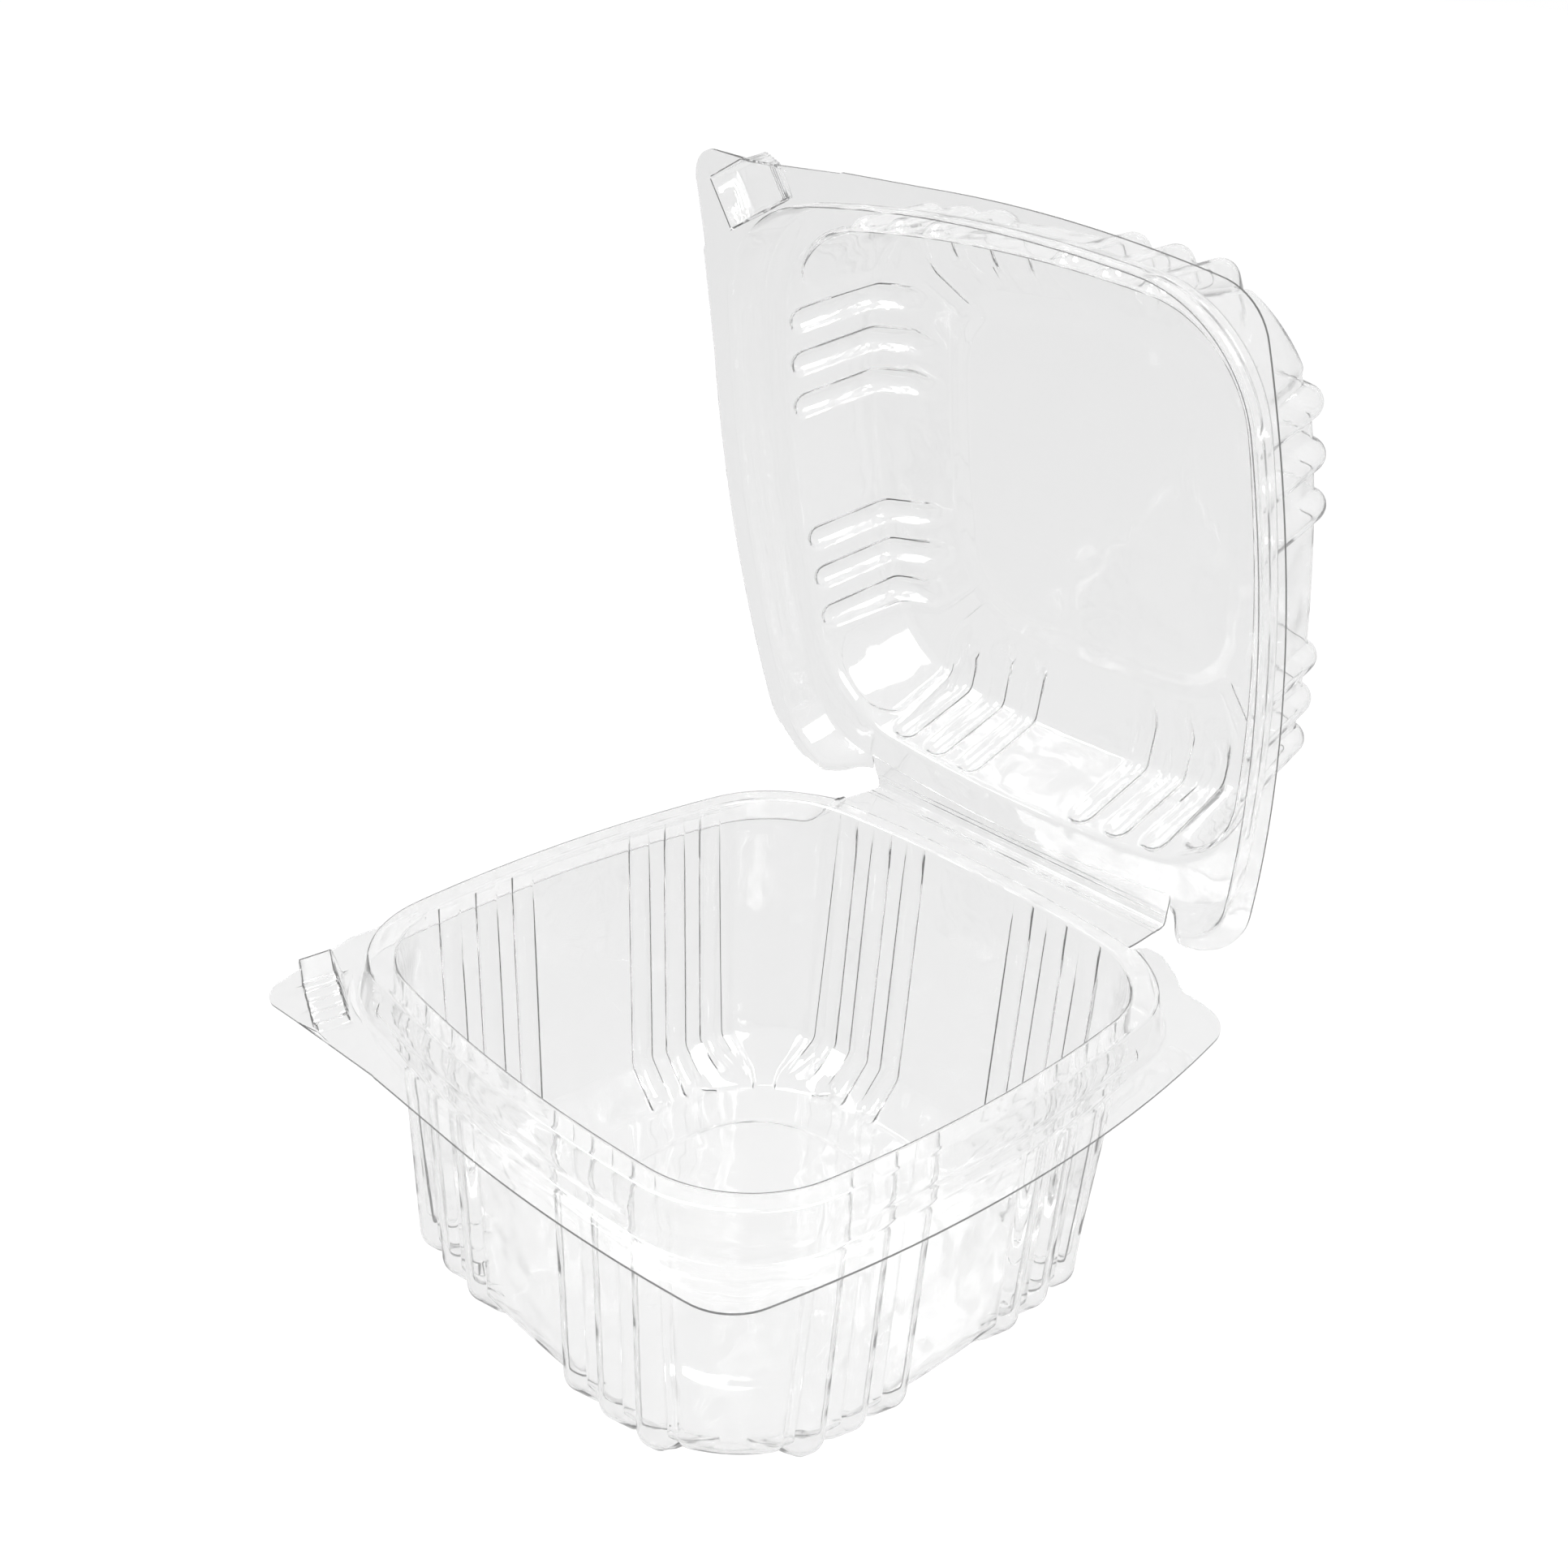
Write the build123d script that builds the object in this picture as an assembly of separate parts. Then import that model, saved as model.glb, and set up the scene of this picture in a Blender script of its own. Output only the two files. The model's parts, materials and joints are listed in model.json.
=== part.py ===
"""Clear hinged-lid food clamshell: one thermoformed sheet with a deep fluted tub, a shallow fluted
lid, a snap rim with a corner thumb tab, and a living hinge along the back.

Frame: X runs along the hinge, +Y points to the hinge, +Z is up. The origin is the middle of the
underside of the tub floor. The lid is built closed, then swung open to its resting angle.
"""
from build123d import *
import os
from math import sqrt

# ---------------------------------------------------------------- driving sizes (mm, degrees)
HALF_WIDTH = 71.0          # middle of the base to the flange edge, along X
HALF_DEPTH = 72.0          # middle of the base to the flange edge, along Y
SIDE_BOW = 300.0           # every side of the outline is an arc of this radius
SHEET = 0.45               # thickness of the formed sheet
FIT_GAP = 0.35             # gap left all round between lid and base when shut

BASE_HEIGHT = 68.5         # underside of the floor to the land that the lid sits on
RIM_DROP = 8.5             # the outer flange lies this far below the land
BASE_HEEL_HEIGHT = 9.0     # the walls turn in towards the floor at this height
LID_WALL_RISE = 23.0       # land to the lid's shoulder
LID_RISE = 29.0            # land to the lid's flat top

FLANGE_CORNER = 11.0       # corner radius of the flange
LAND_INSET = 7.9           # flange edge to the outer edge of the land
LAND_CORNER = 26.0
SKIRT_DRAFT = 1.9          # the skirt spreads by this much on its way down
MOUTH_INSET = 12.2         # flange edge to the mouth of the tub
MOUTH_CORNER = 24.0
BASE_HEEL_INSET = 14.8
BASE_HEEL_CORNER = 29.0
FLOOR_INSET = 22.5
FLOOR_CORNER = 34.0
LID_SHOULDER_INSET = 15.2
LID_SHOULDER_CORNER = 30.0
LID_TOP_INSET = 32.0
LID_TOP_CORNER = 18.0
LID_REAR_RELIEF = 3.5      # the lid's rear channel stands further out, so that it can swing
LID_REAR_CORNER = 15.0
LID_FLANGE_REAR_CORNER = 18.0

FLUTE_OFFSETS = (15.5, 25.0, 34.5)   # flutes on each side of the middle of a wall
FLUTE_RADIUS = 3.0
FLUTE_RELIEF = 2.1         # how far a flute stands out of its wall
FLUTE_TOP_GAP = 1.4        # land to the round top of a flute
FLUTE_WEB = 7.0            # how far a flute's web reaches in from its middle, to meet the wall

BEAD_RELIEF = 0.5          # how far the snap bead stands out of the skirt
BEAD_ROOT = 0.2            # how deep the bead is rooted in the skirt
BEAD_LOW = 1.9             # heights of the bead above the flange
BEAD_CREST = 3.6
BEAD_HIGH = 5.3
BEAD_BREAK_INSET = 31.0    # the bead is broken this far from the flange's side edges
BEAD_BREAK_WIDTH = 5.0
BEAD_END_PLAY = 1.0        # the lid's bead runs past each end of the base's by this much

TAB_TIP_INSET_X = 9.5      # the flange's edges to the centre of the thumb tab's round tip
TAB_TIP_INSET_Y = 6.5
TAB_TIP_RADIUS = 6.5
TAB_SIDE_REACH = 30.0      # the tab's edge leaves the -X side this far from its middle
TAB_FRONT_REACH = 4.0      # and the front this far from its middle
TAB_ROOT_PLAY = 0.15       # the foot of the skirt's corner to the line where the tab begins
TAB_DROOP = 14.0           # the base's tab hangs down by this angle, to part it from the lid's
GRIP_AWAY = 5.4            # the tab's root line to the middle of the grip
GRIP_START = -0.7          # the grip's high end, along the root line from abreast of the tip
GRIP_HEADING = -25.0       # direction of the grip's fall and of the tab's root line, from +X
GRIP_TOP_LENGTH = 9.0
GRIP_STEP_RUN = 2.0
GRIP_STEPS = 5
GRIP_WIDTH = 6.8
GRIP_HEIGHT = 6.0
POCKET_PLAY = 1.8          # the lid's pocket is this much wider, for the drooping grip

HINGE_END_INSET = 30.5     # the flange's side edges to the ends of the hinge
HINGE_SETBACK = 0.8        # the hinge axis lies this far behind the flange's rear edge
HINGE_BEAD_RADIUS = 1.0
HINGE_BEAD_WALL = 0.4
HINGE_CLEARANCE = 0.3      # lid leaf to hinge bead
REAR_CUT_PLAY = 5.5        # the skirt and flange stop this far beyond each end of the hinge
REST_OPENING = 78.0        # how far open the lid rests

PANEL_INSET = 12.0         # floor edge to the raised floor panel
PANEL_RISE = 0.8
PANEL_CORNER = 14.0

# ---------------------------------------------------------------- places that follow from them
LAND_Z = BASE_HEIGHT
FLANGE_Z = LAND_Z - RIM_DROP
HINGE_Z = LAND_Z + FIT_GAP / 2
LID_SHIFT = FIT_GAP + SHEET                # the lid's rim lies this far outside the base's
LID_LAND_Z = LAND_Z + LID_SHIFT            # upper face of the lid's land, when shut
BEAD_BREAK = HALF_WIDTH - BEAD_BREAK_INSET
HINGE_HALF_LENGTH = HALF_WIDTH - HINGE_END_INSET
HINGE_Y = HALF_DEPTH + HINGE_SETBACK
REAR_CUT_HALF = HINGE_HALF_LENGTH + REAR_CUT_PLAY
FAR = 400.0                # longer than any piece, for cutting


# ---------------------------------------------------------------- outlines
def corner_circle(along_x, along_y, bow, radius):
    """Centre of the corner arc that touches the +X side and the +Y side from inside."""
    centre_x = Vector(along_x - bow, 0)
    centre_y = Vector(0, along_y - bow)
    reach = bow - radius
    gap = centre_y - centre_x
    middle = (centre_x + centre_y) / 2
    height = sqrt(reach ** 2 - (gap.length / 2) ** 2)
    across = Vector(-gap.Y, gap.X) / gap.length
    first = middle + across * height
    second = middle - across * height
    return first if first.X + first.Y > second.X + second.Y else second


def outline(half_x, front, rear, bow, front_corner, rear_corner, z):
    """A closed wire of four bowed sides and four round corners, started on the +X side."""
    quadrants = ((1, 1, rear, rear_corner), (-1, 1, rear, rear_corner),
                 (-1, -1, front, front_corner), (1, -1, front, front_corner))
    ends = []
    for sign_x, sign_y, depth, radius in quadrants:
        centre = corner_circle(half_x, depth, bow, radius)
        side_x = (centre - Vector(half_x - bow, 0)).normalized()
        side_y = (centre - Vector(0, depth - bow)).normalized()
        bisector = (side_x + side_y).normalized()
        touch = [centre + side_x * radius, centre + bisector * radius, centre + side_y * radius]
        if sign_x * sign_y < 0:
            touch.reverse()
        ends.append([Vector(sign_x * p.X, sign_y * p.Y, z) for p in touch])
    middles = [Vector(0, rear, z), Vector(-half_x, 0, z), Vector(0, -front, z), Vector(half_x, 0, z)]
    edges = []
    for index, (start, crest, end) in enumerate(ends):
        following = ends[(index + 1) % len(ends)][0]
        edges.append(Edge.make_three_point_arc(start, crest, end))
        edges.append(Edge.make_three_point_arc(end, middles[index], following))
    return Wire(edges)


def bow_sag(offset, inset=0.0):
    """How far a bowed side has fallen back at an offset from its middle."""
    bow = SIDE_BOW - inset
    return bow - sqrt(bow ** 2 - offset ** 2)


def ring(inset, corner, z, rear_inset=None, rear_corner=None):
    """The flange outline drawn in by an inset, with its own corner radius."""
    rear_inset = inset if rear_inset is None else rear_inset
    rear_corner = corner if rear_corner is None else rear_corner
    return outline(HALF_WIDTH - inset, HALF_DEPTH - inset, HALF_DEPTH - rear_inset,
                   SIDE_BOW - inset, corner, rear_corner, z)


def stack(rings):
    """A solid with flat slanted walls through a list of rings."""
    return Solid.make_loft(rings, ruled=True)


def slab(wire, low, high):
    """The plan of a wire, standing from one height to another."""
    return extrude(Face(wire).moved(Location((0, 0, low - wire.center().Z))), high - low)


# ---------------------------------------------------------------- tub and lid shells
def flute_path(wall, half, offset):
    """Points of one flute's centre line on the +Y wall, at an offset from the wall's middle."""
    points = []
    for inset, z, _corner in wall:
        seat = half - inset - bow_sag(offset, inset) - (FLUTE_RADIUS - FLUTE_RELIEF)
        points.append(Vector(offset, seat, z))
    return points


def tube(start, end, radius):
    """A round bar between two points, with a ball at its start and a flat web on its inner side."""
    along = end - start
    plane = Plane(origin=start, x_dir=(1, 0, 0), z_dir=along)
    bar = Solid.make_cylinder(radius, along.length, plane)
    inward = FLUTE_WEB / 2 if plane.y_dir.Y < 0 else -FLUTE_WEB / 2
    web = plane.location * Location((0, inward, along.length / 2)) * Box(2 * radius, FLUTE_WEB, along.length)
    return bar + web + Solid.make_sphere(radius, Plane(start), angle1=-90)


def flutes(wall, radius):
    """Every flute of a shell, as one solid per flute."""
    bars = []
    for turn in (0, 90, 180, 270):
        half = HALF_DEPTH if turn in (0, 180) else HALF_WIDTH
        for offset in FLUTE_OFFSETS + tuple(-value for value in FLUTE_OFFSETS):
            top, knee, toe = flute_path(wall, half, offset)
            bar = tube(top, knee, radius) + tube(knee, toe, radius)
            bars.append(bar.rotate(Axis.Z, turn))
    return bars


def shell(profile, flute_wall, closed_z, growth):
    """A fluted cup: rings through the profile, less the same cup one sheet thickness inside it."""
    outer = stack([ring(inset, corner, z) for inset, z, corner in profile])
    keep_outer = Box(FAR, FAR, FAR).moved(Location((0, 0, closed_z + growth * FAR / 2)))
    bars = flutes(flute_wall, FLUTE_RADIUS)
    outer = outer + [bar & keep_outer for bar in bars]
    inner_profile = inner_cup(profile, growth)
    inner = stack([ring(inset, corner, z) for inset, z, corner in inner_profile])
    keep_inner = keep_outer.moved(Location((0, 0, growth * SHEET)))
    inner_bars = flutes(flute_wall, FLUTE_RADIUS - SHEET)
    inner = inner + [bar & keep_inner for bar in inner_bars]
    return outer - inner


def inner_cup(profile, growth):
    """The profile of the inside of a cup. growth is +1 where the cup opens upwards, else -1."""
    mouth, knee, end = profile
    wall_run = (knee[0] - mouth[0]) / abs(knee[1] - mouth[1])
    heel_run = (end[0] - knee[0]) / abs(end[1] - knee[1])
    wall_shift = SHEET * sqrt(1 + wall_run ** 2)
    heel_shift = SHEET * sqrt(1 + heel_run ** 2)
    lift = (heel_shift - wall_shift) / (heel_run - wall_run)
    knee_z = knee[1] + growth * lift
    knee_inset = knee[0] + wall_shift - wall_run * lift
    end_inset = end[0] + heel_shift - heel_run * SHEET
    mouth_z = mouth[1] + growth * SHEET
    mouth_inset = mouth[0] + wall_shift - wall_run * SHEET
    return ((mouth_inset, mouth_z, mouth[2] - SHEET), (knee_inset, knee_z, knee[2] - SHEET),
            (end_inset, end[1] + growth * SHEET, end[2] - SHEET))


def base_profile():
    return ((MOUTH_INSET, LAND_Z, MOUTH_CORNER), (BASE_HEEL_INSET, BASE_HEEL_HEIGHT, BASE_HEEL_CORNER),
            (FLOOR_INSET, 0.0, FLOOR_CORNER))


def lid_profile():
    return ((MOUTH_INSET, LID_LAND_Z - SHEET, MOUTH_CORNER),
            (LID_SHOULDER_INSET, LID_LAND_Z + LID_WALL_RISE, LID_SHOULDER_CORNER),
            (LID_TOP_INSET, LID_LAND_Z + LID_RISE, LID_TOP_CORNER))


def flute_wall(profile, growth):
    """The stretch of a wall that its flutes follow, from their tops to the flat of the cup."""
    mouth, knee, end = profile
    depth = FLUTE_TOP_GAP + FLUTE_RADIUS
    slope = (knee[0] - mouth[0]) / abs(knee[1] - mouth[1])
    top = (mouth[0] + slope * depth, mouth[1] - growth * depth, mouth[2])
    return top, knee, end


def base_tub():
    profile = base_profile()
    tub = shell(profile, flute_wall(profile, 1), 0.0, 1)
    panel = ring(FLOOR_INSET + PANEL_INSET, PANEL_CORNER, 0.0)
    tub = tub + slab(panel, SHEET, SHEET + PANEL_RISE)
    return tub - slab(ring(FLOOR_INSET + PANEL_INSET + SHEET, PANEL_CORNER, 0.0), -SHEET, PANEL_RISE)


def lid_dome():
    profile = lid_profile()
    return shell(profile, flute_wall(profile, -1), LID_LAND_Z + LID_RISE, -1)


# ---------------------------------------------------------------- rims
def skirt_ring(height, shift, relief, rear_corner, out=0.0):
    """Outer face of a rim's skirt at a height above the flange, moved out of the skirt by out."""
    inset = LAND_INSET - shift - out - SKIRT_DRAFT * (RIM_DROP - height) / RIM_DROP
    return ring(inset, LAND_CORNER + shift, FLANGE_Z + shift + height, inset - relief, rear_corner)


def skirt_block(shift, relief, rear_corner):
    """Everything inside the skirt, from under the flange up to the land."""
    return stack([skirt_ring(-SHEET, shift, relief, rear_corner),
                  skirt_ring(RIM_DROP, shift, relief, rear_corner)])


def bead_block(shift, relief, rear_corner):
    """Everything inside the snap bead."""
    return stack([skirt_ring(BEAD_LOW, shift, relief, rear_corner, -BEAD_ROOT),
                  skirt_ring(BEAD_CREST, shift, relief, rear_corner, BEAD_RELIEF),
                  skirt_ring(BEAD_HIGH, shift, relief, rear_corner, -BEAD_ROOT)])


def bead_breaks(overrun):
    """Blocks where the bead is broken: near the corners, at the tab and behind the tub."""
    width = BEAD_BREAK_WIDTH - 2 * overrun
    near = BEAD_BREAK - width / 2
    across = Box(width, FAR, FAR)
    along = Box(FAR, width, FAR)
    behind = Box(FAR, FAR, FAR).moved(Location((0, near + FAR / 2, 0)))
    tab_corner = Box(FAR, FAR, FAR).moved(Location((-near - FAR / 2, -near - FAR / 2, 0)))
    return [across.moved(Location((-BEAD_BREAK, 0, 0))), across.moved(Location((BEAD_BREAK, 0, 0))),
            along.moved(Location((0, -BEAD_BREAK, 0))), behind, tab_corner]


def rear_cut(shift):
    """The room behind the land, between the two rear corners, under the hinge leaf."""
    top = LAND_Z + shift - SHEET
    block = Box(2 * REAR_CUT_HALF, FAR, FAR)
    return block.moved(Location((0, HALF_DEPTH - 2 * MOUTH_INSET + FAR / 2, top - FAR / 2)))


def tab_tip():
    """Centre of the thumb tab's round tip, in plan."""
    return Vector(TAB_TIP_INSET_X - HALF_WIDTH, TAB_TIP_INSET_Y - HALF_DEPTH)


def tab_frame(shift, z):
    """A plane on a tab's root line: x along the grip's fall, y towards the tub, origin by the tip."""
    along = Vector(1, 0, 0).rotate(Axis.Z, GRIP_HEADING)
    away = Vector(0, -1, 0).rotate(Axis.Z, GRIP_HEADING)
    foot = LAND_INSET - SKIRT_DRAFT
    corner = corner_circle(HALF_WIDTH - foot, HALF_DEPTH - foot, SIDE_BOW - foot, LAND_CORNER)
    reach = Vector(-corner.X, -corner.Y).dot(away) + LAND_CORNER + TAB_ROOT_PLAY + shift
    origin = away * reach + along * tab_tip().dot(along) + Vector(0, 0, z)
    return Plane(origin=origin, x_dir=along, z_dir=(0, 0, 1))


def tab_side(shift):
    """A block that holds everything past the line where a thumb tab begins."""
    block = Box(FAR, FAR, FAR).moved(Location((0, -FAR / 2, 0)))
    return block.moved(tab_frame(shift, 0).location)


def rim(shift, relief, rear_corner, flange_rear_corner, bead_overrun, mouth):
    """Land, skirt with snap bead, and flange, in one sheet."""
    flange_z = FLANGE_Z + shift
    plan = ring(0.0, FLANGE_CORNER, flange_z, 0.0, flange_rear_corner)
    flange = slab(plan, flange_z - SHEET, flange_z)
    skirt = skirt_block(shift, relief, rear_corner)
    hollow = skirt_block(shift - SHEET, relief, rear_corner)
    beads = bead_block(shift, relief, rear_corner) - bead_breaks(bead_overrun)
    grooves = bead_block(shift - SHEET, relief, rear_corner) - bead_breaks(bead_overrun - SHEET)
    solid = (flange + skirt + beads) - hollow - grooves
    return solid - rear_cut(shift) - tab_side(shift) - mouth


# ---------------------------------------------------------------- thumb tab
def tangent(point, centre, radius, side):
    """Where a line from a point touches a circle, on its left (1) or right (-1)."""
    gap = centre - point
    along = gap.normalized()
    across = Vector(-along.Y, along.X) * side
    slope = radius / gap.length
    reach = sqrt(gap.length ** 2 - radius ** 2)
    return point + (along * sqrt(1 - slope ** 2) + across * slope) * reach


def tab_plan(z):
    """The corner of the flange drawn out to a round tip."""
    on_side = Vector(bow_sag(TAB_SIDE_REACH) - HALF_WIDTH, -TAB_SIDE_REACH)
    on_front = Vector(-TAB_FRONT_REACH, bow_sag(TAB_FRONT_REACH) - HALF_DEPTH)
    tip = tab_tip()
    first = tangent(on_side, tip, TAB_TIP_RADIUS, -1)
    last = tangent(on_front, tip, TAB_TIP_RADIUS, 1)
    crest = tip + tip.normalized() * TAB_TIP_RADIUS
    edges = [Edge.make_line(on_side, first), Edge.make_three_point_arc(first, crest, last),
             Edge.make_line(last, on_front), Edge.make_line(on_front, on_side)]
    return Wire(edges).moved(Location((0, 0, z)))


def grip_block(side_view, near, far):
    """A block with the given side view, from near to far as measured across the grip."""
    root = tab_frame(0.0, FLANGE_Z)
    start = root.from_local_coords((GRIP_START, -GRIP_AWAY - near))
    plane = Plane(origin=start, x_dir=root.x_dir, z_dir=-root.y_dir)
    face = Face(Wire.make_polygon([plane.from_local_coords((run, rise)) for run, rise in side_view]))
    return extrude(face, far - near, dir=-root.y_dir)


def stepped_side(thin):
    """Side view of the grip: a flat top, then steps down to the flange; thin draws it in."""
    fall = GRIP_HEIGHT / GRIP_STEPS
    points = [(thin, -SHEET), (thin, GRIP_HEIGHT - thin), (GRIP_TOP_LENGTH - thin, GRIP_HEIGHT - thin)]
    for step in range(GRIP_STEPS):
        near = GRIP_TOP_LENGTH + step * GRIP_STEP_RUN - thin
        low = GRIP_HEIGHT - (step + 1) * fall - thin
        points.append((near + GRIP_STEP_RUN / 3, max(low, -SHEET)))
        points.append((near + GRIP_STEP_RUN, max(low, -SHEET)))
    return points[:-1]


def covering_side(grow, low):
    """Side view of the lid's pocket over the grip: a flat top and a plain slope."""
    run = GRIP_STEPS * GRIP_STEP_RUN
    top = GRIP_HEIGHT + grow
    return [(-grow, low), (-grow, top), (GRIP_TOP_LENGTH + grow, top),
            (GRIP_TOP_LENGTH + run + 2 * grow, low)]


def tab(shift, raised, hollow):
    """The flat of a thumb tab with its raised grip or pocket."""
    flange_z = FLANGE_Z + shift
    plan = ring(0.0, FLANGE_CORNER, flange_z)
    plate = slab(plan, flange_z - SHEET, flange_z) + slab(tab_plan(flange_z), flange_z - SHEET, flange_z)
    return (plate & tab_side(shift)) + raised - hollow


def base_thumb_tab():
    half = GRIP_WIDTH / 2
    raised = grip_block(stepped_side(0.0), -half, half)
    hollow = grip_block(stepped_side(SHEET), SHEET - half, half - SHEET)
    root = tab_frame(0.0, FLANGE_Z - SHEET)
    return tab(0.0, raised, hollow).rotate(Axis(root.origin, root.x_dir), TAB_DROOP)


def lid_thumb_tab():
    half = GRIP_WIDTH / 2
    raised = grip_block(covering_side(LID_SHIFT, FIT_GAP), -half - LID_SHIFT,
                        half + LID_SHIFT + POCKET_PLAY)
    hollow = grip_block(covering_side(FIT_GAP, 0.0), -half - FIT_GAP, half + FIT_GAP + POCKET_PLAY)
    return tab(LID_SHIFT, raised, hollow)


# ---------------------------------------------------------------- hinge
def hinge_rod(radius):
    axis = Plane(origin=(-HINGE_HALF_LENGTH, HINGE_Y, HINGE_Z), z_dir=(1, 0, 0))
    return Solid.make_cylinder(radius, 2 * HINGE_HALF_LENGTH, axis)


def hinge_leaf(shift, relief, rear_corner, rod_radius):
    """The flat of sheet between a land and the hinge bead."""
    length = HALF_DEPTH / 2
    top = LAND_Z + shift
    plate = Box(2 * HINGE_HALF_LENGTH, length, SHEET)
    plate = plate.moved(Location((0, HINGE_Y - length / 2, top - SHEET / 2)))
    return plate - skirt_block(shift, relief, rear_corner) - hinge_rod(rod_radius)


def hinge_bead():
    return hinge_rod(HINGE_BEAD_RADIUS) - hinge_rod(HINGE_BEAD_RADIUS - HINGE_BEAD_WALL)


# ---------------------------------------------------------------- the whole object
def base_rim():
    mouth = stack([ring(inset, corner, z) for inset, z, corner in base_profile()])
    return rim(0.0, 0.0, LAND_CORNER, FLANGE_CORNER, 0.0, mouth)


def lid_rim():
    mouth = slab(ring(MOUTH_INSET, MOUTH_CORNER, LAND_Z), LAND_Z, LID_LAND_Z)
    return rim(LID_SHIFT, LID_REAR_RELIEF, LID_REAR_CORNER, LID_FLANGE_REAR_CORNER,
               BEAD_END_PLAY + SHEET, mouth)


def opened(solid):
    """Swing a piece of the shut lid open to its resting angle."""
    return solid.rotate(Axis((0, HINGE_Y, HINGE_Z), (1, 0, 0)), -REST_OPENING)


def main():
    base = {
        "base_tub": base_tub(),
        "base_rim": base_rim(),
        "base_thumb_tab": base_thumb_tab(),
        "base_hinge_leaf": hinge_leaf(0.0, 0.0, LAND_CORNER, HINGE_BEAD_RADIUS),
        "hinge_bead": hinge_bead(),
    }
    lid = {
        "lid_dome": lid_dome(),
        "lid_rim": lid_rim(),
        "lid_thumb_tab": lid_thumb_tab(),
        "lid_hinge_leaf": hinge_leaf(LID_SHIFT, LID_REAR_RELIEF, LID_REAR_CORNER,
                                     HINGE_BEAD_RADIUS + HINGE_CLEARANCE),
    }
    os.makedirs("parts", exist_ok=True)
    for name, solid in base.items():
        export_step(solid, f"parts/{name}.step")
    for name, solid in lid.items():
        export_step(opened(solid), f"parts/{name}.step")


main()
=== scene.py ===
"""Looks of a clear hinged-lid food clamshell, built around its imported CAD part.

Each half is one formed sheet: a grid of profile rows (floor or roof to flange edge) by columns that
run round the outline, thickened to the real gauge. Sizes are in millimetres until a mesh is made.
"""
import json

import bmesh
import bpy
import numpy as np
from mathutils import Matrix, Vector
from mathutils.geometry import delaunay_2d_cdt


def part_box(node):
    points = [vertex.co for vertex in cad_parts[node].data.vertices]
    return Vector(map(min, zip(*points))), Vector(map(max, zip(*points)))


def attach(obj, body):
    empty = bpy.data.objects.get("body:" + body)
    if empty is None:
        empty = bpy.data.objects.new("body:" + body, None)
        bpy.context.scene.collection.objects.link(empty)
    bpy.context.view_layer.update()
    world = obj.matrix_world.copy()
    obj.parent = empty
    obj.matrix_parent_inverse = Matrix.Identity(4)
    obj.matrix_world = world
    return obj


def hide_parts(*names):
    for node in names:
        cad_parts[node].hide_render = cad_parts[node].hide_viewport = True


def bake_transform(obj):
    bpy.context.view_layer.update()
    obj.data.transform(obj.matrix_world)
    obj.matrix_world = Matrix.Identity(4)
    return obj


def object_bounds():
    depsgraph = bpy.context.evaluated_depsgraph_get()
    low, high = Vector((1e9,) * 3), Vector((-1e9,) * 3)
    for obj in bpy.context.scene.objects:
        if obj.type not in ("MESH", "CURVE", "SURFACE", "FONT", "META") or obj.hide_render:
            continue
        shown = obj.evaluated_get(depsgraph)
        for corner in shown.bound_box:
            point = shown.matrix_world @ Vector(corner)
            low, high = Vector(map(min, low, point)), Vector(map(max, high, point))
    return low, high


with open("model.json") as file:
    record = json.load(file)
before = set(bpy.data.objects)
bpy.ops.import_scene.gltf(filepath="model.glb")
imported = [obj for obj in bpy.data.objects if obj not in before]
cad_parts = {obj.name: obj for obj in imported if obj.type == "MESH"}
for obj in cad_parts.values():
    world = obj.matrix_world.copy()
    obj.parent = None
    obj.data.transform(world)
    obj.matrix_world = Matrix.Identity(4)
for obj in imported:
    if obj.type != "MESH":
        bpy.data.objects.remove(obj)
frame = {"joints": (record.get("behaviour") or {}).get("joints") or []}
CAD_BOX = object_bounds()

MM = 1000.0
JOINT = frame["joints"][0]
RIM_LOW, RIM_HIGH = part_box("base_rim")
_, HINGE_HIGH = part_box("hinge_bead")
LEAF_LOW, LEAF_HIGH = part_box("base_hinge_leaf")
HINGE_Y, HINGE_Z = JOINT["pos_m"][1] * MM, JOINT["pos_m"][2] * MM
HINGE_HALF = HINGE_HIGH.x * MM
OPENING = np.radians(-JOINT["range_deg"][0])     # how far the lid is open at rest

SHEET = (LEAF_HIGH.z - LEAF_LOW.z) * MM
HALF_X = RIM_HIGH.x * MM
HALF_Y = -RIM_LOW.y * MM
LAND_Z = RIM_HIGH.z * MM
FLANGE_Z = RIM_LOW.z * MM + SHEET
LID_SHIFT = 2 * (HINGE_Z - LAND_Z) + SHEET       # the lid's rim lies this far outside the base's
LID_LAND_Z = LAND_Z + LID_SHIFT
LID_RISE = 29.0
BOW = 300.0                                      # radius of the outline's bowed sides

FLANGE_CORNER = 11.0
LAND_INSET, LAND_CORNER = 7.9, 26.0
SKIRT_DRAFT = 1.9
REAR_RELIEF = 3.5                                # the lid's rear channel stands further out
LID_REAR_CORNER, LID_FLANGE_REAR = 15.0, 18.0
FLANGE_STEPS = (0.2, 0.4, 0.6, 0.8, 1.0)         # rows of the flange, as shares of its width
FLANGE_SEARCH = 45.0                             # no column runs further out than this

# Profile corners as (inset from the flange's edge, height, plan corner radius). The base's heights
# are above the ground, on the outside of its cup. The lid's are above its land.
MOUTH_INSET, MOUTH_CORNER = 12.2, 24.0
BASE_KNEE, BASE_TOE = (14.8, 9.0, 29.0), (22.5, 0.0, 34.0)
LID_KNEE, LID_TOP, LID_ROOF = (15.2, 23.0, 30.0), (32.0, LID_RISE, 18.0), (36.0, LID_RISE, 14.0)
BASE_LEAD_IN = (4.0, 2.0)                        # the first row lies this far inside the toe
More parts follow.
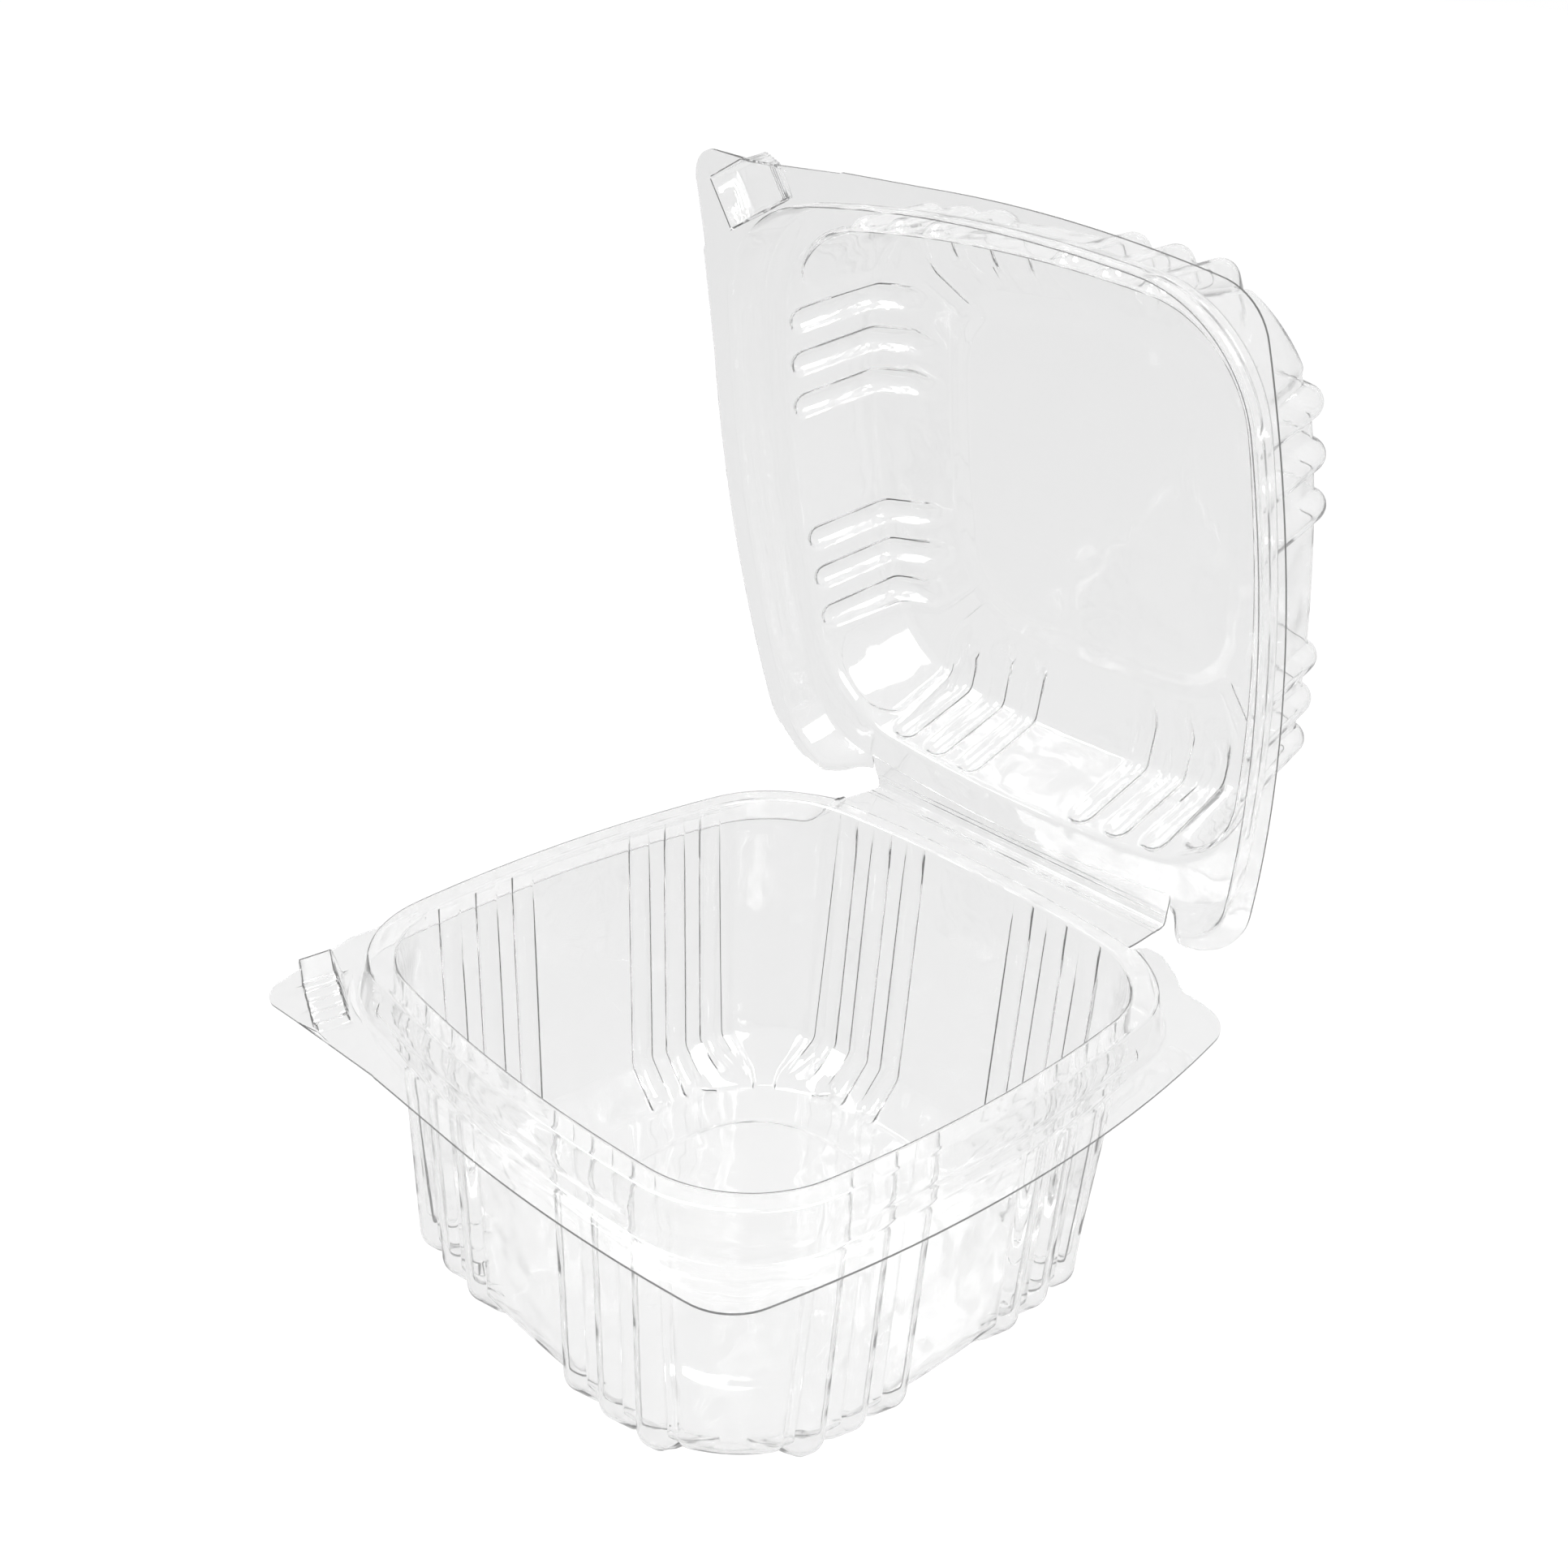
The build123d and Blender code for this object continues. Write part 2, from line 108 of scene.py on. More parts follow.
# Radius and number of rows of each rounded bend, from the floor or roof to the skirt's foot.
BASE_BENDS = [(2.2, 6), (3.0, 7), (1.0, 5), (0.9, 5), (0.6, 4)]
LID_BENDS = [(2.5, 5), (3.0, 7), (1.0, 5), (0.9, 5), (0.6, 4)]
FINE_ROWS = 0.72                                 # row spacing over flute ends and the rim
CUP_INSET = 11.9                                 # rows further in than this belong to the cup
FLAT_INSET = {False: 25, True: 33}               # the floor's (base) and roof's (lid) flat

FLUTES = (-34.5, -25.0, -15.5, 15.5, 25.0, 34.5)
FLUTE_R, FLUTE_RELIEF, FLUTE_TOP_GAP = 3.0, 2.1, 1.4
FLUTE_BLEND, FLUTE_FILLET = 0.35, 0.3            # softness where a flute meets the wall
FLUTE_SINK = 3.5                                 # how deep a flute fades into the slope
OUTER_FLUTE = 30                                 # flutes further out than this fade early
# How far past the knee the inner and the outer flutes are gone. The base's inner ones never are.
BASE_FLUTE_ENDS, LID_FLUTE_ENDS = (99.0, 6.0), (6.0, 3.7)
SIDE_REACH = 38.3                                # columns follow a side to here, then fan out
DIAGONAL_SHARE = 0.95                            # or, where the plan is small, to this share
BEAD_RELIEF, BEAD_CREST, BEAD_HALF = 0.5, 3.6, 1.7
BEAD_BREAK, BEAD_BREAK_HALF, BEAD_RUN_OUT = 40.0, 2.5, 0.9
LID_BEAD_PLAY = 1.45                             # the lid's bead breaks are this much shorter
CORNER_BULGE, ARCH_TOP, ARCH_DROP = 1.1, 2.6, 6.0

TIP = np.array([-(HALF_X - 9.5), -(HALF_Y - 6.5)])
TIP_R = 6.5
TAB_EDGE_PLAY = 0.8                              # the grip keeps this far inside the front edge
TAB_SIDE_REACH, TAB_FRONT_REACH = 30.0, 4.0
HEADING = np.radians(-25.0)
ALONG = np.array([np.cos(HEADING), np.sin(HEADING)])
AWAY = np.array([np.sin(HEADING), -np.cos(HEADING)])
TAB_DROOP = np.radians(14.0)
ROOT_PLAY = 0.15
GRIP_AWAY, GRIP_START = 5.4, -0.7
GRIP_TOP, GRIP_RUN, GRIP_STEPS = 9.0, 2.0, 5
GRIP_WIDTH, GRIP_HEIGHT = 6.8, 6.0
POCKET_PLAY = 1.8                                # the cover's room for the base's tilted grip
TAB_FILL = 2.5                                   # spacing of the tab's inner points
NOTCH_INNER, NOTCH_OUTER = 41.5, 46.5            # the slot at each end of the hinge
NOTCH_DEPTH = 3.0                                # its round end's middle, from the flange's edge
CREASES, CREASE_WIDTH, CREASE_HEIGHT = (1.9, 3.1), 0.22, 0.16
HINGE_TRIM = 1.3                                 # the strip's bend starts this far from the fold

FLOOR_SEEN, FLOOR_THROUGH = 1.0, 0.75            # glow seen directly, and by every other ray
HORIZON_GLOW, ZENITH_GLOW = 0.80, 0.85
CAMERA_BACK = (46.0, 25.5, 0.382)                # azimuth, elevation, distance
CAMERA_TARGET = (-0.0290, 0.0309, 0.0860)
CAMERA_LENS, CAMERA_SENSOR, CAMERA_ROLL = 41.88, 36.0, 0.0513
SOFTBOX_AWAY = 0.9
SOFTBOXES = (                                    # name, azimuth, elevation, width, height, watts
    ("key", 100, 50, 0.45, 0.50, 7.5),
    ("fill", -30, 50, 0.40, 0.45, 6.5),
    ("rim", 262, 74, 0.40, 0.25, 3.5))
SHARP_ANGLE = np.radians(50)


# ---------------------------------------------------------------- plan curves
def smoothstep(value, low, high):
    share = np.clip((value - low) / (high - low), 0, 1)
    return share * share * (3 - 2 * share)


def corner_centre(near, far, bow, radius):
    """Centre of the arc that joins a side at distance near and the next side at distance far."""
    first, second = np.array([near - bow, 0.0]), np.array([0.0, far - bow])
    gap = second - first
    length = np.hypot(*gap)
    rise = np.sqrt((bow - radius) ** 2 - (length / 2) ** 2)
    across = np.array([-gap[1], gap[0]]) / length
    ends = [(first + second) / 2 + across * rise * sign for sign in (1, -1)]
    return max(ends, key=sum)


class Ring:
    """A bowed square with round corners. Side k faces +X, +Y, -X, -Y for k = 0..3."""

    def __init__(self, inset, corner, rear_inset=None, rear_corner=None):
        rear_inset = inset if rear_inset is None else rear_inset
        rear_corner = corner if rear_corner is None else rear_corner
        self.half = (HALF_X - inset, HALF_Y - rear_inset, HALF_X - inset, HALF_Y - inset)
        self.corner = (rear_corner, rear_corner, corner, corner)
        self.bow = BOW - inset

    def side(self, k, lateral):
        """Distance of side k from the middle at lateral offsets."""
        half = self.half[k]
        out = half - self.bow + np.sqrt(self.bow ** 2 - lateral ** 2)
        for sign in (1, -1):
            radius = self.corner[k if sign > 0 else k - 1]
            centre = corner_centre(half, self.half[(k + sign) % 4], self.bow, radius)
            start = np.array([half - self.bow, 0.0])
            touch = (start + (centre - start) / np.hypot(*(centre - start)) * self.bow)[1]
            beyond = lateral * sign > touch
            drop = radius ** 2 - (lateral * sign - centre[1]) ** 2
            out = np.where(beyond, centre[0] + np.sqrt(np.maximum(drop, 0)), out)
        return out

    def reach(self):
        """How far along its sides the columns may go before they meet the diagonals."""
        diagonals = [sum(corner_centre(self.half[k], self.half[(k + 1) % 4], self.bow, radius)) / 2
                     + radius * np.sqrt(0.5) for k, radius in enumerate(self.corner)]
        return min(SIDE_REACH, DIAGONAL_SHARE * min(diagonals))

    def fan(self, k, shares, reach):
        """Points round the corner after side k, in side k's frame, between the two side reaches."""
        ahead = (k + 1) % 4
        start = np.arctan2(reach, self.side(k, np.array([reach]))[0])
        end = np.arctan2(self.side(ahead, np.array([-reach]))[0], reach)
        angle = start + shares * (end - start)
        ray = np.stack([np.cos(angle), np.sin(angle)])
        centre = corner_centre(self.half[k], self.half[ahead], self.bow, self.corner[k])
        first = np.array([self.half[k] - self.bow, 0.0])
        second = np.array([0.0, self.half[ahead] - self.bow])
        hits = [ray_hit(ray, middle, radius) for middle, radius in
                ((first, self.bow), (second, self.bow), (centre, self.corner[k]))]
        touches = [middle + (centre - middle) / np.hypot(*(centre - middle)) * self.bow
                   for middle in (first, second)]
        low, high = [np.arctan2(touch[1], touch[0]) for touch in touches]
        length = np.where(angle < low, hits[0], np.where(angle > high, hits[1], hits[2]))
        return ray[0] * length, ray[1] * length


def ray_hit(ray, centre, radius):
    """How far from the origin a ray leaves a circle."""
    near = ray[0] * centre[0] + ray[1] * centre[1]
    return near + np.sqrt(np.maximum(near ** 2 - centre @ centre + radius ** 2, 0))


# ---------------------------------------------------------------- columns round the outline
def flute_columns():
    """Lateral offsets of the columns along one side, close together over the flutes."""
    steps = np.array([-3.9, -3.3, -2.95, -2.6, -2.2, -1.7, -1.1, -0.5, 0.0,
                      0.5, 1.1, 1.7, 2.2, 2.6, 2.95, 3.3, 3.9])
    columns = [offset + steps for offset in FLUTES]
    columns.append(np.linspace(-10.4, 10.4, 9))
    columns = np.sort(np.concatenate(columns))
    return columns[np.abs(columns) < SIDE_REACH]


SIDE_COLUMNS = flute_columns()
FAN_SHARES = np.linspace(0, 1, 34)
PER_SIDE = len(SIDE_COLUMNS)
PER_FAN = len(FAN_SHARES)
COUNT = 4 * (PER_SIDE + PER_FAN)


def turned(k, out, lateral):
    """Side k's frame (outward, along) to plan x, y."""
    return ((out, lateral), (-lateral, out), (-out, -lateral), (lateral, -out))[k]


class Bar:
    """What one row sees of the flutes: bars with ball ends that follow the wall and the slope."""

    def __init__(self, depth, past_knee, ends, in_fan, surface, normal):
        ball = FLUTE_TOP_GAP + FLUTE_R
        self.full = FLUTE_R - surface
        self.radius = self.full
        if depth < ball:
            self.radius = np.sqrt(max(self.full ** 2 - (ball - depth) ** 2, 0.0))
        self.sink = FLUTE_R - FLUTE_RELIEF - surface
        self.past, self.ends, self.in_fan = past_knee, ends, in_fan
        self.normal = normal

    def fade(self, offset):
        """How far a flute has sunk back into the slope past the knee."""
        end = self.ends[abs(offset) > OUTER_FLUTE]
        return FLUTE_SINK * smoothstep(self.past, end * 0.5, end)

    def height(self, lateral, offset):
        """How far a flute stands out of its seat; negative where it doesn't."""
        reach = self.radius ** 2 - (lateral - offset) ** 2
        height = np.sqrt(np.maximum(reach, 0)) - self.sink - self.fade(offset)
        return np.where(reach > 0, height, -1.0)


def flute_seat(ring, k, offset):
    """Distance of side k from the middle where a flute sits on it."""
    return ring.half[k] - ring.bow + np.sqrt(ring.bow ** 2 - offset ** 2)


def flute_out(ring, k, bar, lateral, out):
    """Push a side's columns out to its flutes; returns the distances and the lifts."""
    lift = np.zeros_like(out)
    for offset in FLUTES:
        bare = bar.height(lateral, offset)
        height = smooth_max(bare, np.zeros_like(out), FLUTE_FILLET)
        over = np.where(bare > -0.5, flute_seat(ring, k, offset), -1.0)
        out = smooth_max(out, over + height * bar.normal[0], FLUTE_BLEND)
        lift = np.maximum(lift, height)
    return out, lift * bar.normal[1]


def flute_fan(ring, k, bar, x, y):
    """The same for the columns of the corner after side k, without a lift."""
    length = np.hypot(x, y)
    if bar.radius <= 0.02 or not bar.in_fan:
        return x, y
    ray = np.stack([x, y]) / length
    out = length
    for side, offset in ((k, max(FLUTES)), ((k + 1) % 4, min(FLUTES))):
        seat = flute_seat(ring, side, offset) - bar.sink
        centre = np.array([seat, offset] if side == k else [-offset, seat])
        across = ray[0] * centre[1] - ray[1] * centre[0]
        near = ray[0] * centre[0] + ray[1] * centre[1]
        hit = near + np.sqrt(np.maximum(bar.radius ** 2 - across ** 2, 0))
        top = np.where(np.abs(across) < bar.radius, hit - bar.fade(offset), 0.0)
        out = smooth_max(out, top, FLUTE_BLEND)
    return x * out / length, y * out / length


def smooth_max(first, second, width):
    """The larger of two values, with a soft change-over."""
    gap = np.maximum(width - np.abs(first - second), 0) / width
    return np.maximum(first, second) + gap * gap * width / 4


def place_row(ring, bar=None):
    """One row of the grid: x, y and lift of every column."""
    columns = []
    reach = ring.reach()
    lateral = SIDE_COLUMNS * (reach / SIDE_REACH)
    for k in range(4):
        out, lift = ring.side(k, lateral), np.zeros(PER_SIDE)
        across, along = ring.fan(k, FAN_SHARES, reach)
        if bar is not None and bar.radius > 0.02:
            out, lift = flute_out(ring, k, bar, lateral, out)
            across, along = flute_fan(ring, k, bar, across, along)
        columns.append(np.stack([*turned(k, out, lateral), lift]))
        columns.append(np.stack([*turned(k, across, along), np.zeros(PER_FAN)]))
    return np.concatenate(columns, 1)


# ---------------------------------------------------------------- profiles
def rounded_path(points, arcs):
    """Points (inset, z, corner) with each inner vertex rounded to its radius in arcs."""
    path = [np.array(points[0])]
    for before, here, after, (radius, steps) in zip(points, points[1:], points[2:], arcs):
        before, here, after = np.array(before), np.array(here), np.array(after)
        toward, onward = before - here, after - here
        first = toward / np.hypot(*toward[:2])
        second = onward / np.hypot(*onward[:2])
        half = np.arccos(np.clip(first[:2] @ second[:2], -1, 1)) / 2
        trim = radius / np.tan(half)
        for share in np.linspace(0, 1, steps):
            start, end = here + first * trim, here + second * trim
            bend = (1 - share) ** 2 * start + 2 * share * (1 - share) * here + share ** 2 * end
            path.append(bend)
    path.append(np.array(points[-1]))
    return path


def subdivided(path, spacing):
    """The path with points added so that rows are no further apart than spacing(z)."""
    out = [path[0]]
    for first, second in zip(path, path[1:]):
        length = np.hypot(*(second - first)[:2])
        count = max(1, int(np.ceil(length / spacing((first[1] + second[1]) / 2))))
        for share in np.linspace(0, 1, count + 1)[1:]:
            out.append(first + (second - first) * share)
    return out


def offset_inside(profile):
    """The upper face of the base's sheet from the outside of its cup, one gauge inwards."""
    mouth, knee, end = [np.array(point) for point in profile]
    wall_run = (knee[0] - mouth[0]) / abs(knee[1] - mouth[1])
    heel_run = (end[0] - knee[0]) / abs(end[1] - knee[1])
    wall_shift, heel_shift = [SHEET * np.sqrt(1 + run ** 2) for run in (wall_run, heel_run)]
    lift = (heel_shift - wall_shift) / (heel_run - wall_run)
    return ((mouth[0] + wall_shift, mouth[1], mouth[2] - SHEET),
            (knee[0] + wall_shift - wall_run * lift, knee[1] + lift, knee[2] - SHEET),
            (end[0] + heel_shift - heel_run * SHEET, end[1] + SHEET, end[2] - SHEET))


# ---------------------------------------------------------------- tab and flange edge
def tab_root(shift):
    """Distance of the tab's root line from the middle."""
    foot = LAND_INSET - SKIRT_DRAFT
    centre = corner_centre(HALF_X - foot, HALF_Y - foot, BOW - foot, LAND_CORNER)
    return -centre @ AWAY + LAND_CORNER + ROOT_PLAY + shift


def tangent_point(point, side):
    """Where the line from a point touches the round tip of the tab."""
    gap = TIP - point
    length = np.hypot(*gap)
    along = gap / length
    across = np.array([-along[1], along[0]]) * side
    slope = TIP_R / length
    toward = along * np.sqrt(1 - slope ** 2) + across * slope
    return point + toward * np.sqrt(length ** 2 - TIP_R ** 2)


def side_sag(offset):
    """How far the bowed outline has fallen back at an offset from a side's middle."""
    return BOW - np.sqrt(BOW ** 2 - offset ** 2)


def tab_outline(steps):
    """The tab's edge from the -X side, round the tip, to the front."""
    on_side = np.array([side_sag(TAB_SIDE_REACH) - HALF_X, -TAB_SIDE_REACH])
    on_front = np.array([-TAB_FRONT_REACH, side_sag(TAB_FRONT_REACH) - HALF_Y])
    first, last = tangent_point(on_side, -1), tangent_point(on_front, 1)
    start = np.arctan2(*(first - TIP)[::-1])
    end = np.arctan2(*(last - TIP)[::-1])
    end += 2 * np.pi * (end < start)
    turn = np.linspace(start, end, steps)
    arc = TIP + TIP_R * np.stack([np.cos(turn), np.sin(turn)], 1)
    return np.vstack([on_side, arc, on_front])


def inside_convex(x, y, loop):
    """Which points lie inside a convex loop that runs anticlockwise."""
    inside = np.ones_like(x, bool)
    for (ax, ay), (bx, by) in zip(loop, np.roll(loop, -1, 0)):
        inside &= (bx - ax) * (y - ay) - (by - ay) * (x - ax) >= 0
    return inside


def inside_ring(x, y, ring):
    """Which points lie inside a ring; its rear half may be larger than its front half."""
    wide_x, wide_y = np.abs(x), np.abs(y)
    rear = y > 0
    inside = np.ones_like(x, bool)
    ends = ((True, ring.half[1], ring.corner[0]), (False, ring.half[3], ring.corner[2]))
    for is_rear, far, corner in ends:
        centre = corner_centre(ring.half[0], far, ring.bow, corner)
        first, second = np.array([ring.half[0] - ring.bow, 0.0]), np.array([0.0, far - ring.bow])
        ok = np.hypot(wide_x - first[0], wide_y) <= ring.bow
        ok &= np.hypot(wide_x, wide_y - second[1]) <= ring.bow
        low, high = [np.arctan2(*(centre - middle)[::-1]) for middle in (first, second)]
        at = np.arctan2(wide_y - centre[1], wide_x - centre[0])
        in_corner = (at > low) & (at < high) & (wide_x > centre[0]) & (wide_y > centre[1])
        ok &= ~in_corner | (np.hypot(wide_x - centre[0], wide_y - centre[1]) <= corner)
        inside &= ok | (rear != is_rear)
    return inside


def flange_reach(x, y, dx, dy, ring, root, notch):
    """How far each column runs from the skirt's foot to the flange's cut edge or the tab's root."""
    tab = tab_outline(40)
    near, far = np.zeros_like(x), np.full_like(x, FLANGE_SEARCH)
    for _ in range(40):
        middle = (near + far) / 2
        px, py = x + dx * middle, y + dy * middle
        inside = inside_ring(px, py, ring) | inside_convex(px, py, tab)
        inside &= px * AWAY[0] + py * AWAY[1] <= root
        inside &= ~notch(px, py)
        near, far = np.where(inside, middle, near), np.where(inside, far, middle)
    return near


# ---------------------------------------------------------------- the sheet of each half
def base_rows():
    """(inset, z, corner) rows of the base's upper face, from the floor out to the skirt's foot."""
    mouth, knee, toe = offset_inside(((MOUTH_INSET, LAND_Z, MOUTH_CORNER), BASE_KNEE, BASE_TOE))
    lead = (toe[0] + BASE_LEAD_IN[0], toe[1], toe[2] - BASE_LEAD_IN[1])
    land = (LAND_INSET, LAND_Z, LAND_CORNER)
    foot = (LAND_INSET - SKIRT_DRAFT, FLANGE_Z, LAND_CORNER)
    past = (LAND_INSET - SKIRT_DRAFT - 1.0, FLANGE_Z, LAND_CORNER - 1.0)
    path = rounded_path([lead, toe, knee, mouth, land, foot, past], BASE_BENDS)

    def spacing(z):
        if z < BASE_KNEE[1]:
            return 2.4
        return 9.0 if z < LAND_Z - 15 else FINE_ROWS
    return subdivided(path, spacing)


def lid_rows():
    """The same for the outside of the shut lid, from its roof out to the skirt's foot."""
    roof, top, shoulder = [(inset, LID_LAND_Z + height, corner)
                           for inset, height, corner in (LID_ROOF, LID_TOP, LID_KNEE)]
    mouth = (MOUTH_INSET, LID_LAND_Z, MOUTH_CORNER)
    land = (LAND_INSET - LID_SHIFT, LID_LAND_Z, LAND_CORNER + LID_SHIFT)
    foot = (LAND_INSET - LID_SHIFT - SKIRT_DRAFT, FLANGE_Z + LID_SHIFT, LAND_CORNER + LID_SHIFT)
    past = (foot[0] - 1.0, foot[1], foot[2] - 1.0)
    path = rounded_path([roof, top, shoulder, mouth, land, foot, past], LID_BENDS)

    def spacing(z):
        if z > LID_LAND_Z + 22:
            return 2.6
        return 5.0 if z > LID_LAND_Z + 12 else FINE_ROWS
    return subdivided(path, spacing)


def bead_out(x, y, height, ends_play):
    """How far the snap bead stands out of the skirt, broken near the corners and at the tab."""
    crest = np.clip(1 - abs(height - BEAD_CREST) / BEAD_HALF, 0, 1)
    if crest == 0:
        return 0.0
    crest = crest * crest * (3 - 2 * crest)
    half = BEAD_BREAK_HALF - ends_play
    past = half + BEAD_RUN_OUT
    gap_x = smoothstep(np.abs(np.abs(x) - BEAD_BREAK), half, past)
    gap_y = smoothstep(np.abs(y + BEAD_BREAK), half, past)
    front = smoothstep(-y, -BEAD_BREAK + half, -BEAD_BREAK + past)
    near_tab = [smoothstep(-at, BEAD_BREAK - 1, BEAD_BREAK) for at in (x, y)]
    tab = 1 - near_tab[0] * near_tab[1]
    return BEAD_RELIEF * crest * gap_x * gap_y * front * tab


def notch_test(edge_y):
    """The round-ended slots at the hinge ends, and everything behind the land between them."""
    def test(x, y):
        middle = (NOTCH_INNER + NOTCH_OUTER) / 2
        radius = (NOTCH_OUTER - NOTCH_INNER) / 2
        slot = (np.abs(np.abs(x) - middle) < radius) & (y > edge_y)
        slot |= np.hypot(np.abs(x) - middle, y - edge_y) < radius
        return slot | ((np.abs(x) < middle) & (y > edge_y - radius))
    return test


def columns_out(x, y):
    """The plan direction in which each column runs outwards over the flange."""
    dx, dy = [], []
    at = 0
    for k in range(4):
        ox, oy = turned(k, np.ones(PER_SIDE), np.zeros(PER_SIDE))
        fx, fy = x[at + PER_SIDE:at + PER_SIDE + PER_FAN], y[at + PER_SIDE:at + PER_SIDE + PER_FAN]
        reach = np.hypot(fx, fy)
        dx += [ox, fx / reach]
        dy += [oy, fy / reach]
        at += PER_SIDE + PER_FAN
    return np.concatenate(dx), np.concatenate(dy)


def bulged(x, y, depth):
    """Push the corner columns out to a round panel whose top is an arch under the land."""
    middle = np.abs(2 * FAN_SHARES - 1)
    arch = ARCH_TOP + ARCH_DROP * middle ** 3
    push = CORNER_BULGE * smoothstep(1 - middle, 0.02, 0.22) * smoothstep(depth - arch, -0.6, 0.8)
    out = np.zeros(COUNT)
    for k in range(4):
        start = k * (PER_SIDE + PER_FAN) + PER_SIDE
        out[start:start + PER_FAN] = push
    scale = 1 + out / np.hypot(x, y)
    return x * scale, y * scale


class Half:
    """The sizes in which the base and the lid differ."""

    def __init__(self, is_lid):
        self.is_lid = is_lid
        self.shift = LID_SHIFT if is_lid else 0.0
        self.land = LID_LAND_Z if is_lid else LAND_Z
        self.growth = -1 if is_lid else 1
        self.knee = LID_LAND_Z + LID_KNEE[1] if is_lid else BASE_KNEE[1]
        self.surface = 0.0 if is_lid else SHEET
        self.flat = LID_LAND_Z + LID_RISE if is_lid else SHEET
        self.flange_z = FLANGE_Z + self.shift
        self.rows = lid_rows() if is_lid else base_rows()
        self.rear = REAR_RELIEF if is_lid else 0.0
        self.root = tab_root(self.shift)
        self.ends_play = LID_BEAD_PLAY if is_lid else 0.0

    def ring(self, inset, corner):
        if self.is_lid and inset < LAND_INSET:
            return Ring(inset, corner, inset - self.rear, LID_REAR_CORNER)
        return Ring(inset, corner)

    def bar(self, z, normal):
        ends = LID_FLUTE_ENDS if self.is_lid else BASE_FLUTE_ENDS
        depth, past_knee = (self.land - z) * self.growth, (self.knee - z) * self.growth
        return Bar(depth, past_knee, ends, not self.is_lid, self.surface, normal)

    def row(self, inset, z, corner, normal):
        """One row's points: a plain ring on the rim and the flat, a fluted one between."""
        ring = self.ring(inset, corner)
        depth = (self.land - z) * self.growth
        if inset < CUP_INSET:
            x, y, lift = place_row(ring)
            scale = 1 + bead_out(x, y, z - self.flange_z, self.ends_play) / np.hypot(x, y)
            x, y = x * scale, y * scale
        elif abs(z - self.flat) < 0.02 and inset > FLAT_INSET[self.is_lid]:
            x, y, lift = place_row(ring)
        else:
            x, y, lift = place_row(ring, bar=self.bar(z, normal))
            x, y = bulged(x, y, depth)
        height = z + lift
        return np.stack([x, y, height if self.is_lid else np.maximum(height, SHEET)], 1)

    def normals(self):
        """Each row's outward normal in the plane of the profile (outward, up)."""
        path = np.array(self.rows)[:, :2] * (-1, 1)
        tangent = np.gradient(path, axis=0)
        tangent /= np.hypot(*tangent.T)[:, None]
        return self.growth * np.column_stack([tangent[:, 1], -tangent[:, 0]])


def rear_window(points):
    """0 where the rim runs flat to the hinge, 1 where its skirt is full height."""
    height = smoothstep(np.abs(points[:, 0]), NOTCH_INNER, NOTCH_OUTER + 5)
    return np.where(points[:, 1] > 0, height, 1.0)


def half_grid(half):
    """Rows of points from the floor or roof out to the flange's edge."""
    grid = [half.row(*row, normal) for row, normal in zip(half.rows, half.normals())]
    foot = grid[-1]
    dx, dy = columns_out(foot[:, 0], foot[:, 1])
    rear_corner = LID_FLANGE_REAR if half.is_lid else FLANGE_CORNER
    plan = Ring(0.0, FLANGE_CORNER, 0.0, rear_corner)
    notch = notch_test(HALF_Y - half.rear - NOTCH_DEPTH)
    reach = flange_reach(foot[:, 0], foot[:, 1], dx, dy, plan, half.root, notch)
    for share in FLANGE_STEPS:
        row = foot.copy()
        row[:, 0] += dx * reach * share
        row[:, 1] += dy * reach * share
        grid.append(row)
    return np.array(grid)


def land_row(half):
    """Index of the last row that lies on the flat of the land."""
    flat = [i for i, (inset, z, _corner) in enumerate(half.rows)
            if abs(z - half.land) < 0.02 and inset < MOUTH_INSET - 0.2]
    return flat[-1]


# ---------------------------------------------------------------- tab patch
def droop(points, half):
    """The base's tab hangs down past its root line."""
    if half.is_lid:
        return points
    out = points.copy()
    past = points[:, 0] * AWAY[0] + points[:, 1] * AWAY[1] - half.root
    rise = points[:, 2] - half.flange_z
    moved = past * np.cos(TAB_DROOP) + rise * np.sin(TAB_DROOP) - past
    far = past > 0
    out[far, 0] += (AWAY[0] * moved)[far]
    out[far, 1] += (AWAY[1] * moved)[far]
    out[far, 2] = (half.flange_z + rise * np.cos(TAB_DROOP) - past * np.sin(TAB_DROOP))[far]
    return out


